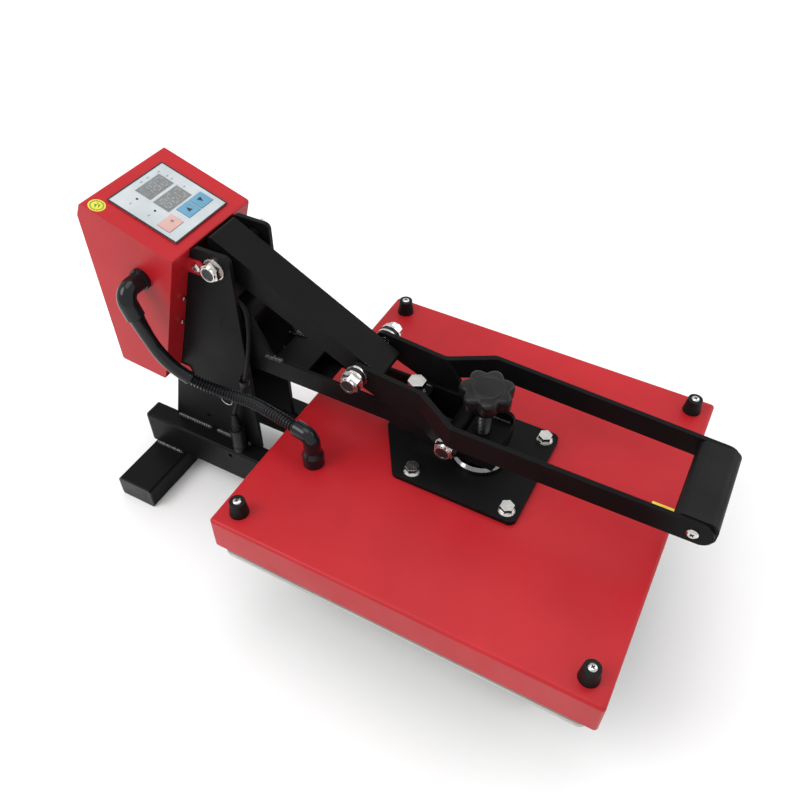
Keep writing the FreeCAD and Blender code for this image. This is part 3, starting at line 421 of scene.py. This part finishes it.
def slab(center, across, up, outline, thick):
    """A flat outline with a thickness, lying in the plane of two directions."""
    across, up = Vector(across).normalized(), Vector(up).normalized()
    out = across.cross(up)
    rings = [[Vector(center) + across * x + up * y + out * z for x, y in outline] for z in (0.0, thick)]
    return rings_mesh(rings)


def circle(radius, sides=40, center=(0.0, 0.0)):
    return [(center[0] + radius * math.cos(2 * math.pi * k / sides),
             center[1] + radius * math.sin(2 * math.pi * k / sides)) for k in range(sides)]


def rectangle(x0, x1, y0, y1):
    return [(x0, y0), (x1, y0), (x1, y1), (x0, y1)]


# ---- hoses --------------------------------------------------------------------------------------

CONDUIT = [(-92.1, 353.4, 120), (-91, 343, 86), (-86, 326, 56), (-78, 302, 37), (-71, 270, 30),
           (-72, 237, 35), (-80, 204, 41), (-84.85, 172, 40.4)]
SENSOR_CABLE = [(-28, 332, 138), (-28, 308, 139), (-28.5, 284, 136), (-28.5, 262, 124), (-34, 257.5, 98),
                (-39.5, 258.5, 70), (-42, 264, 40), (-43, 275, 6), (-46, 286, -20), (-47, 290, -34.3)]
RIB_PITCH = 3.6 * MM
RIB_VALLEY, RIB_HEIGHT = 4.7, 1.9
SLEEVE_RADIUS = 7.2
SLEEVE_END = 92 * MM
CABLE_RADIUS = 2.4 * MM


def ribbed(distance, length, turn):
    """The radius of corrugated conduit: rounded ribs with narrower valleys."""
    phase = (distance / RIB_PITCH) % 1
    rib = (0.5 - 0.5 * math.cos(2 * math.pi * phase)) ** 0.8
    return (RIB_VALLEY + RIB_HEIGHT * rib) * MM


def hoses():
    line = route_line([at(*p) for p in CONDUIT])
    conduit = piece("heater_conduit_ribbed", *sweep(line, RIB_PITCH / 8, ribbed, 28),
                    EXTRAS["gloss_black"], None, "black_plastic")
    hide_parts("heater_conduit")
    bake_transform(conduit)

    spots, reach = march(line, 2 * MM)
    upper = [p for p, s in zip(spots, reach) if s < SLEEVE_END]

    def boot(distance, length, turn):
        """A shrunk sleeve: a thick mouth at the elbow, ending in a lip."""
        mouth = 1.4 * math.exp(-distance / (9 * MM))
        lip = 0.5 * math.exp(-((length - distance - 2 * MM) / (1.2 * MM)) ** 2)
        return (SLEEVE_RADIUS + mouth + lip + 0.12 * math.sin(distance / (7 * MM))) * MM

    sleeve = piece("conduit_sleeve", *sweep(upper, 1.5 * MM, boot, 28), EXTRAS["gloss_black"], None,
                   "black_plastic")
    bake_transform(sleeve)

    cable_line = route_line([at(*p) for p in SENSOR_CABLE])
    cable = piece("sensor_cable_smooth",
                  *sweep(cable_line, 1.5 * MM, lambda s, whole, turn: CABLE_RADIUS, 18),
                  MATERIALS["black_rubber"], "root", "black_rubber")
    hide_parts("sensor_cable")

    low = corner("close_sensor", 0, "z")
    high = corner("close_sensor", 1, "z")
    center = middle("close_sensor")
    rib_count, rib_step, first_rib = 7, 3 * MM, 21 * MM
    widest, taper = 6.6, 0.45
    ribs = []
    for n in range(rib_count):
        height = high - first_rib + n * rib_step
        fat = (widest - taper * n) * MM
        ribs.append(lathe((center.x, center.y, height), (0, 0, 1),
                          [(fat - 1.5 * MM, -0.2 * MM), (fat, 0.2 * MM), (fat, 1.2 * MM),
                           (fat - 1.5 * MM, 1.6 * MM)],
                          24))
    body = lathe((center.x, center.y, low + 5 * MM), (0, 0, 1),
                 [(9.0 * MM, 0), (9.35 * MM, 1 * MM), (9.35 * MM, 3 * MM), (9.0 * MM, 4 * MM)], 32)
    piece("sensor_ribs", *merge(ribs + [body]), MATERIALS["black_rubber"], "root", "black_rubber")


# ---- knob, screw and hardware -------------------------------------------------------------------

KNOB_LOBES = 7
LOBE_DEPTH = 0.20
TAB_SCREWS = ((309, 163), (364, -4))
RIVETS = ((330, 120), (340.5, 84))
RIVET_X = 44
BARELY = 0.02 * MM      # how far a print stands off its face


def star_shape(turn):
    """Seven lobes with rounded tips and hollow flanks, as a share of the knob's radius."""
    wave = 0.5 + 0.5 * math.cos(KNOB_LOBES * turn)
    return 1 - LOBE_DEPTH + LOBE_DEPTH * wave ** 0.62


def star_knob():
    top = corner("star_knob", 1, "z")
    low = corner("star_knob", 0, "z")
    center = middle("pressure_screw")
    radius = (corner("star_knob", 1, "x") - corner("star_knob", 0, "x")) / 2 - 0.2 * MM
    deep = 18 * MM
    outline = [(0.60, -deep + 1.5 * MM), (0.90, -deep + 1.0 * MM), (0.96, -deep + 1.6 * MM),
               (1.0, -deep + 3.0 * MM),
               (1.0, -5.0 * MM), (0.985, -3.2 * MM), (0.95, -2.0 * MM), (0.90, -1.4 * MM),
               (0.80, -0.9 * MM)]
    rings = [(share * radius, height) for share, height in outline]
    star = lathe((center.x, center.y, top), (0, 0, 1), rings, 24 * KNOB_LOBES, star_shape)
    dish = lathe((center.x, center.y, top), (0, 0, 1),
                 [(17.5 * MM, -1.6 * MM), (17.0 * MM, -0.4 * MM), (16.0 * MM, 0.0), (14.2 * MM, -0.2 * MM),
                  (13.4 * MM, -1.0 * MM), (12.0 * MM, -1.2 * MM), (4.0 * MM, -1.2 * MM)], 64)
    neck = lathe((center.x, center.y, low), (0, 0, 1),
                 [(12.6 * MM, 0.0), (13.2 * MM, 0.8 * MM), (14.8 * MM, 14.5 * MM), (16 * MM, 16 * MM)], 48)
    knob = piece("star_knob_moulded", *merge([star, dish, neck]), MATERIALS["black_plastic"], "adjuster",
                 "black_plastic")
    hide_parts("star_knob")

    pitch = 2.0 * MM
    core, crest = 6.85, 1.1
    low, high = corner("pressure_screw", 0, "z"), corner("pressure_screw", 1, "z") - 2 * MM

    def thread(distance, length, turn):
        phase = (distance / pitch - turn / (2 * math.pi)) % 1
        return (core + crest * (1 - abs(2 * phase - 1))) * MM

    line = [Vector((center.x, center.y, low)), Vector((center.x, center.y, high))]
    screw = piece("pressure_screw_thread", *sweep(line, pitch / 6, thread, 36), EXTRAS["oiled_steel"],
                  "adjuster",
                  "zinc_steel")
    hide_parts("pressure_screw")


def cross_recess_shade(center, axis, size):
    """A thin dark cross on a screw head: painted shade that stands in for the screw's recess."""
    axis = Vector(axis).normalized()
    side = axis.orthogonal().normalized()
    up = axis.cross(side)
    arm, wide = size, size * 0.28
    parts = []
    for x, y in ((arm, wide), (wide, arm)):
        parts.append(slab(Vector(center), side, up, rectangle(-x, x, -y, y), 0.12 * MM))
    return merge(parts)


# Screw-head details; the dark crosses are painted shade standing in for the recesses.
def screw_recesses():
    tabs = []
    left = corner("box_tab_screws", 0, "x")
    right = corner("box_tab_screws", 1, "x")
    for y, z in TAB_SCREWS:
        spot = at(0, y, z)
        # painted shade: dark crosses on the tab screw heads stand in for their recesses
        tabs.append(cross_recess_shade((left - BARELY, spot.y, spot.z), (-1, 0, 0), 2.2 * MM))
        tabs.append(cross_recess_shade((right + BARELY, spot.y, spot.z), (1, 0, 0), 2.2 * MM))
    piece("tab_screw_recess_shade", *merge(tabs), EXTRAS["black_print_and_recess_shade"], "root", "black_plastic", smooth=False)

    grip = middle("grip_bolt")
    # painted shade: dark crosses on the grip bolt's ends stand in for their recesses
    ends = [cross_recess_shade((corner("grip_bolt", 0, "x") - BARELY, grip.y, grip.z), (-1, 0, 0), 2.3 * MM),
            cross_recess_shade((corner("grip_bolt", 1, "x") + BARELY, grip.y, grip.z), (1, 0, 0), 2.3 * MM)]
    piece("grip_screw_recess_shade", *merge(ends), EXTRAS["black_print_and_recess_shade"], "lever", "black_plastic",
          smooth=False)

    low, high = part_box("cover_plugs")
    inset = 10 * MM
    heads, recess_shades = [], []
    for x in (low[0] + inset, high[0] - inset):
        for y in (low[1] + inset, high[1] - inset):
            heads.append(lathe((x, y, high[2] - 0.6 * MM), (0, 0, 1),
                               [(4.4 * MM, 0), (4.4 * MM, 0.8 * MM), (3.9 * MM, 1.5 * MM),
                                (2.4 * MM, 2.0 * MM)], 28))
            # painted shade: a dark cross on each plug screw head stands in for its recess
            recess_shades.append(cross_recess_shade((x, y, high[2] + 1.42 * MM), (0, 0, 1), 2.0 * MM))
    piece("plug_screw_heads", *merge(heads), MATERIALS["zinc_steel"], "platen_head", "zinc_steel")
    piece("plug_screw_recess_shade", *merge(recess_shades), EXTRAS["black_print_and_recess_shade"], "platen_head", "black_plastic",
          smooth=False)


def box_rivets():
    """Blind rivets in the front of the control box, beside the tower."""
    rivets = []
    for side in (-1, 1):
        for y, z in RIVETS:
            center = at(side * RIVET_X, y - 0.5, z)
            rivets.append(lathe(center, (0, -1, -0.29),
                                [(2.6 * MM, -1 * MM), (2.6 * MM, 0.4 * MM), (1.8 * MM, 1.1 * MM),
                                                         (0.7 * MM, 1.3 * MM)], 20))
    piece("box_rivets", *merge(rivets), MATERIALS["zinc_steel"], "root", "zinc_steel")


def thread_ends():
    """The nylon ring and bolt end in the mouth of each locknut: two on the left, and one on each stud."""
    spots = []
    for node, body in (("top_pivot_bolt_and_nut", "root"), ("lever_pivot_bolt_and_nut", "press_arm")):
        center = middle(node)
        spots.append((body, Vector((corner(node, 0, "x"), center.y, center.z)), (-1, 0, 0)))
    studs = middle("link_studs_and_nuts")
    spots.append(("lever", Vector((corner("link_studs_and_nuts", 0, "x"), studs.y, studs.z)), (-1, 0, 0)))
    spots.append(("lever", Vector((corner("link_studs_and_nuts", 1, "x"), studs.y, studs.z)), (1, 0, 0)))
    for n, (body, center, axis) in enumerate(spots):
        ring = lathe(center, axis, [(7.1 * MM, -0.3 * MM), (7.1 * MM, 0.05 * MM), (6.3 * MM, 0.09 * MM),
                                    (5.5 * MM, -0.3 * MM), (5.3 * MM, -0.85 * MM)], 36)
        piece(f"locknut_ring_{n + 1}", *ring, EXTRAS["black_print_and_recess_shade"], body, "zinc_steel")
        end = lathe(center, axis, [(4.9 * MM, -1.0 * MM), (4.9 * MM, -0.75 * MM), (4.0 * MM, -0.45 * MM)],
                    36)
        piece(f"bolt_end_{n + 1}", *end, MATERIALS["zinc_steel"], body, "zinc_steel")


def wire_ring():
    """A split steel ring that lies against the near tower plate."""
    turns, radius, wire = 48, 8, 0.55 * MM
    center = at(-41, 303, -22)
    angles = [2 * math.pi * k / turns for k in range(turns - 1)]
    line = [center + Vector((0, radius * math.cos(a), radius * math.sin(a))) * MM for a in angles]
    piece("wire_ring", *sweep(line, 1.2 * MM, lambda s, whole, turn: wire, 10), MATERIALS["zinc_steel"],
          "root", "zinc_steel")


# ---- welds --------------------------------------------------------------------------------------

TOWER_BEAD, FOOT_BEAD, ARM_BEAD = 4.0 * MM, 3.8 * MM, 3.0 * MM
BLOCK_BEAD, BAR_BEAD = 2.2 * MM, 2.0 * MM


def weld_bead(start, end, fat, seed):
    """A run of overlapping puddles from start to end."""
    chance = random.Random(seed)
    length = (end - start).length
    pitch = fat * 0.9
    jitter = [chance.uniform(0.88, 1.14) for _ in range(int(length / pitch) + 3)]

    def radius(distance, whole, turn):
        n = distance / pitch
        phase = n % 1
        swell = 0.80 + 0.20 * math.sqrt(max(0.0, 1 - (2 * phase - 1) ** 2))
        ends = min(1.0, 0.35 + distance / fat, 0.35 + (whole - distance) / fat)
        return fat * swell * jitter[int(n)] * ends

    return sweep([start, end], pitch / 6, radius, 12)


def welds():
    beam_top = corner("base_beam_left", 1, "z")
    foot_top = corner("rear_foot", 1, "z")
    beads = []
    for n, side in enumerate(("left", "right")):
        sign = -1 if side == "left" else 1
        outer = max(abs(corner(f"tower_plate_{side}", 0, "x")),
                    abs(corner(f"tower_plate_{side}", 1, "x"))) * sign
        front, rear = corner(f"tower_plate_{side}", 0, "y"), corner(f"tower_plate_{side}", 1, "y")
        for k in range(2):
            start = front + (rear - front) * (0.10 + 0.46 * k)
            end = start + (rear - front) * 0.42
            beads.append(weld_bead(Vector((outer, start, beam_top)), Vector((outer, end, beam_top)),
                                   TOWER_BEAD,
                                   10 * n + k))
        edge = max(abs(corner(f"base_beam_{side}", 0, "x")),
                   abs(corner(f"base_beam_{side}", 1, "x"))) * sign
        for k, foot in enumerate(("front_foot", "rear_foot")):
            low, high = corner(foot, 0, "y") + 4 * MM, corner(foot, 1, "y") - 4 * MM
            beads.append(weld_bead(Vector((edge, low, foot_top)), Vector((edge, high, foot_top)), FOOT_BEAD,
                                   50 + 10 * n + k))
    piece("base_welds", *merge(beads), EXTRAS["weld_paint"], "root", "black_paint")

    arm_beads = []
    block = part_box("screw_block")
    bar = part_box("stop_bar")
    inner = block[1][0]
    for n, sign in enumerate((-1, 1)):
        arm_beads.append(weld_bead(Vector((sign * inner, block[0][1] + 3 * MM, block[1][2])),
                                   Vector((sign * inner, block[1][1] - 3 * MM, block[1][2])), BLOCK_BEAD,
                                   80 + n))
        arm_beads.append(weld_bead(Vector((sign * inner, bar[0][1] + 2 * MM, bar[1][2])),
                                   Vector((sign * inner, bar[1][1] - 2 * MM, bar[1][2])), BAR_BEAD, 90 + n))
        top = at(sign * 23.3, 250, 58.5)
        arm_beads.append(weld_bead(top, top + Vector((0, -24 * MM, 0)), ARM_BEAD, 95 + n))
    piece("arm_welds", *merge(arm_beads), EXTRAS["weld_paint"], "press_arm", "black_paint")

    stud = middle("link_studs_and_nuts")
    link_half = corner("link_channel", 1, "x")
    spots = []
    chance = random.Random(7)
    for sign in (-1, 1):
        for k in range(6):
            turn = math.pi * (0.15 + 0.75 * k / 5)
            center = Vector((sign * (link_half - 0.4 * MM), stud.y + 10.5 * MM * math.cos(turn),
                             stud.z + 10.0 * MM * math.sin(turn) * 0.75))
            fat = chance.uniform(1.3, 1.9) * MM
            spots.append(lathe(center, (sign, 0, 0),
                               [(fat, -0.6 * MM), (fat, 0.1 * MM), (fat * 0.6, 0.45 * MM)], 12))
    piece("link_weld_spots", *merge(spots), EXTRAS["weld_paint"], "upper_link", "black_paint")


# ---- control panel ------------------------------------------------------------------------------

SLOPE = math.radians(17.5)
PANEL_UP = Vector((0, math.cos(SLOPE), math.sin(SLOPE)))
PANEL_OUT = Vector((0, -math.sin(SLOPE), math.cos(SLOPE)))
PANEL_ORIGIN = (0, 314, 184)
OVERLAY = 1.6
WINDOWS = ((-12.3, 25.3, 68.2, 87.8), (-12.8, 24.8, 44.7, 64.8))
LAMPS = ((-20.4, 78.3), (-21, 55.3))
TICKS = ((2, 91.5), (12, 91.5), (27.5, 90), (29, 80), (29, 74), (29, 58), (-30, 78.3), (-30.5, 55.3))
STICKER = (-54.2, 99.5)
LEAVES = (((-4, -1), (0, 3.4), (1, 0.4)), ((-2, -3.4), (1.2, -0.4), (4, -2)),
          ((1.4, 1), (4.2, 2.6), (2.6, -0.6)))
SEGMENTS = {"0": "abcdef", "1": "bc", "2": "abged", "3": "abgcd", "4": "fgbc", "5": "afgcd", "6": "afgecd",
            "7": "abc", "8": "abcdefg", "9": "abcfgd"}


def on_panel(u, v, w):
    """A point across and up the sloping panel and out from it, in millimetres."""
    return at(*PANEL_ORIGIN) + Vector((u * MM, 0, 0)) + PANEL_UP * (v * MM) + PANEL_OUT * (w * MM)


def panel_slab(outline, w, thick):
    """A flat print on the panel; its outline is in panel millimetres."""
    shape = [(x * MM, y * MM) for x, y in outline]
    return slab(on_panel(0, 0, w), (1, 0, 0), PANEL_UP, shape, thick * MM)


def digit(character, u, v, wide, tall, w):
    """The lit segments of one seven-segment digit whose lower left corner is (u, v)."""
    thick, lean = 1.25, 0.10
    half = tall / 2
    flat = {"a": (u, v + tall), "g": (u, v + half), "d": (u, v)}
    upright = {"f": (u, v + half), "b": (u + wide, v + half), "e": (u, v), "c": (u + wide, v)}
    shapes = []
    for name in SEGMENTS[character]:
        if name in flat:
            x, y = flat[name]
            shape = [(x + 0.7, y), (x + 1.3, y + thick / 2), (x + wide - 1.3, y + thick / 2),
                     (x + wide - 0.7, y),
                     (x + wide - 1.3, y - thick / 2), (x + 1.3, y - thick / 2)]
        else:
            x, y = upright[name]
            shape = [(x, y + 0.7), (x - thick / 2, y + 1.3), (x - thick / 2, y + half - 1.3),
                     (x, y + half - 0.7),
                     (x + thick / 2, y + half - 1.3), (x + thick / 2, y + 1.3)]
        shapes.append(panel_slab([(px + (py - v) * lean, py) for px, py in shape], w, 0.12))
    return shapes


def frame_band(x0, x1, y0, y1, wide, w, thick):
    """Four strips round a rectangle."""
    sides = [(x0, x1, y0, y0 + wide), (x0, x1, y1 - wide, y1), (x0, x0 + wide, y0 + wide, y1 - wide),
             (x1 - wide, x1, y0 + wide, y1 - wide)]
    return [panel_slab(rectangle(*side), w, thick) for side in sides]


def control_panel():
    border = frame_band(-42.3, 42.3, 12.2, 97.8, 1.6, OVERLAY - 0.4, 0.65)
    piece("overlay_border", *merge(border), EXTRAS["black_print_and_recess_shade"], "root", "overlay_film", smooth=False)
    bezels = []
    for window in WINDOWS:
        bezels += frame_band(*window, 0.9, OVERLAY, 0.15)
    piece("display_bezels", *merge(bezels), EXTRAS["grey_print"], "root", "overlay_film", smooth=False)
    glass = OVERLAY + 0.22
    shapes = []
    for text, u, v in (("180", -8.6, 71.5), ("060", -9.1, 48.3)):
        for n, character in enumerate(text):
            shapes += digit(character, u + 11.2 * n, v, 7.2, 12.8, glass)
    piece("display_digits", *merge(shapes), EXTRAS["pale_segment"], "root", "display_film", smooth=False)
    lamps = [panel_slab(circle(1.25, 24, center), OVERLAY, 0.35) for center in LAMPS]
    piece("indicator_lamps", *merge(lamps), EXTRAS["black_print_and_recess_shade"], "root", "display_film")
    ticks = []
    for u, v in TICKS:
        ticks.append(panel_slab(rectangle(u - 1.6, u + 1.6, v - 0.5, v + 0.5), OVERLAY, 0.06))
    piece("panel_ticks", *merge(ticks), EXTRAS["grey_print"], "root", "overlay_film", smooth=False)

    face = 2.1
    arrows = {"up_key": [(2.2, 31), (8.2, 31), (5.2, 37)], "down_key": [(22.4, 37), (28.4, 37), (25.4, 31)]}
    for body, outline in arrows.items():
        piece(f"{body}_arrow", *panel_slab(outline, face, 0.08), EXTRAS["black_print_and_recess_shade"], body, "blue_film",
              smooth=False)
    mark = panel_slab(circle(2.0, 28, (-20.5, 34.5)), face, 0.08)
    piece("set_key_mark", *mark, EXTRAS["grey_print"], "set_key", "pink_film")

    u, v = STICKER
    disc = panel_slab(circle(8.6, 48, STICKER), 0, 0.16)
    dots = [(u + 6.4 * math.cos(k * math.pi / 9), v + 6.4 * math.sin(k * math.pi / 9)) for k in range(18)]
    ring = [panel_slab(circle(0.95, 12, dot), 0.14, 0.12) for dot in dots]
    leaf = [panel_slab([(u + x, v + y) for x, y in shape], 0.14, 0.12) for shape in LEAVES]
    piece("round_sticker", *disc, EXTRAS["sticker_yellow"], "root", "red_paint")
    piece("round_sticker_print", *merge(ring + leaf), EXTRAS["sticker_green"], "root", "red_paint")


def cover_sticker():
    """A plain yellow label at the front of the cover, on its top."""
    base = at(20, -190.5, 0.05)
    outline = [(x * MM, y * MM) for x, y in rectangle(-12, 12, -12.5, 12.5)]
    piece("cover_label", *slab(base, (1, 0, 0), (0, 1, 0), outline, 0.15 * MM), EXTRAS["sticker_yellow"],
          "platen_head", "red_paint", smooth=False)
    band = [(x * MM, y * MM) for x, y in rectangle(-10, 10, -2.5, 2.5)]
    piece("cover_label_band", *slab(base + Vector((0, 0, 0.14 * MM)), (1, 0, 0), (0, 1, 0), band, 0.1 * MM),
          EXTRAS["orange_film"], "platen_head", "red_paint", smooth=False)


# ---- studio -------------------------------------------------------------------------------------

FLOOR_HALF = 30.0       # metres from the middle of the floor to its edge
SKY_STRENGTH = 0.85
EYE = (-525.34, -178.58, 650.36)
AZIMUTH, ELEVATION, ROLL = -62.455, 45.774, 0.646
FOCAL_LENGTH, SENSOR_WIDTH = 36.0, 36.0


def studio():
    m = Nodes("pale_floor")
    color = m.ramp(m.noise(3), [(0.3, (0.88, 0.88, 0.88)), (0.7, (0.9, 0.9, 0.9))])
    m.finish(color, m.span(m.noise(8), 0.65, 0.75))
    mesh = bpy.data.meshes.new("floor")
    corners = [(x * FLOOR_HALF, y * FLOOR_HALF, 0) for x, y in ((-1, -1), (1, -1), (1, 1), (-1, 1))]
    mesh.from_pydata(corners, [], [(0, 1, 2, 3)])
    floor = bpy.data.objects.new("floor", mesh)
    floor.data.materials.append(m.material)
    bpy.context.scene.collection.objects.link(floor)

    world = bpy.data.worlds.new("studio_sky")
    world.use_nodes = True
    sky = world.node_tree.nodes["Background"]
    sky.inputs["Color"].default_value = (1.0, 1.0, 1.0, 1)
    sky.inputs["Strength"].default_value = SKY_STRENGTH
    bpy.context.scene.world = world
    bpy.context.scene.view_settings.view_transform = "Standard"

    lamps = (("key_light", (-1.4, 1.3, 2.2), 1.6, 34), ("fill_light", (1.8, -1.6, 1.9), 2.0, 14),
             ("top_light", (0.2, 0.1, 2.6), 1.8, 16))
    for name, place, size, power in lamps:
        light = bpy.data.lights.new(name, "AREA")
        light.shape = "DISK"
        light.size = size
        light.energy = power
        lamp = bpy.data.objects.new(name, light)
        lamp.location = place
        lamp.rotation_euler = (Vector((0, 0, 0.15)) - Vector(place)).to_track_quat("-Z", "Y").to_euler()
        bpy.context.scene.collection.objects.link(lamp)


def camera():
    """The photographer's standpoint: high on the left, a little in front of the middle."""
    azimuth, elevation, roll = map(math.radians, (AZIMUTH, ELEVATION, ROLL))
    back = Vector((math.sin(azimuth) * math.cos(elevation), -math.cos(azimuth) * math.cos(elevation),
                   math.sin(elevation)))
    right = (-back).cross(Vector((0, 0, 1))).normalized()
    up = right.cross(-back)
    level = Matrix((right, up, back)).transposed()
    lens = bpy.data.cameras.new("camera")
    lens.lens = FOCAL_LENGTH
    lens.sensor_width = SENSOR_WIDTH
    lens.clip_start = 0.01
    eye = bpy.data.objects.new("camera", lens)
    eye.matrix_world = Matrix.Translation(at(*EYE)) @ (
        level @ Matrix.Rotation(roll, 3, "Z")).to_4x4()
    bpy.context.scene.collection.objects.link(eye)
    bpy.context.scene.camera = eye


camera()
hoses()
dress_cad()
star_knob()
screw_recesses()
box_rivets()
wire_ring()
thread_ends()
welds()
control_panel()
cover_sticker()
studio()
